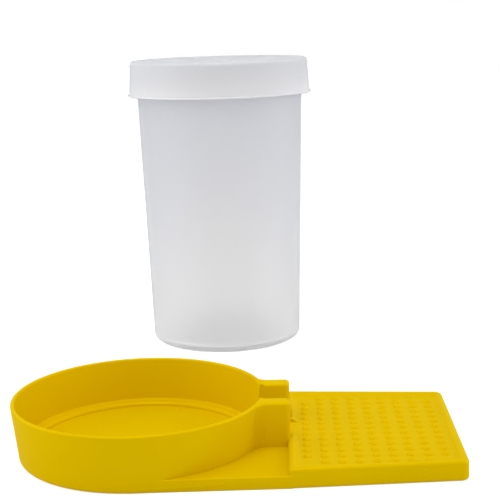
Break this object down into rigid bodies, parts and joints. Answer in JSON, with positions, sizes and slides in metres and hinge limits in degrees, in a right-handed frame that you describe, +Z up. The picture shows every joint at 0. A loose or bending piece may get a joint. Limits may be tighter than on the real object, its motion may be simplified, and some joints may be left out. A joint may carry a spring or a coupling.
{
  "type": "hive entrance feeder",
  "caption": "Bee feeder: round dish with a throat to a low studded tray for the hive entrance, and an upright bottle with a feed lid.",
  "frame": {"origin": "centre of the round dish on the underside of the base", "axes": "+X from the dish to the studded tray that goes into the hive, +Y away from the pictured side, +Z up"},
  "size_m": [0.2051, 0.3144, 0.1714],
  "materials": {
    "yellow_plastic": "satin injection-moulded polypropylene",
    "milky_bottle_plastic": "translucent milky polypropylene",
    "milky_lid_plastic": "translucent milky polypropylene"
  },
  "bodies": {
    "base": {"feeder_base": "yellow_plastic"},
    "bottle_body": {"bottle": "milky_bottle_plastic"},
    "lid_body": {"bottle_lid": "milky_lid_plastic"}
  },
  "joints": [
    {"name": "bottle_lift", "type": "slide", "parent": "base", "child": "bottle_body", "axis": [0, 0, 1], "range_m": [0, 0.06]},
    {"name": "lid_lift", "type": "slide", "parent": "bottle_body", "child": "lid_body", "axis": [0, 0, 1], "range_m": [0, 0.045]}
  ]
}
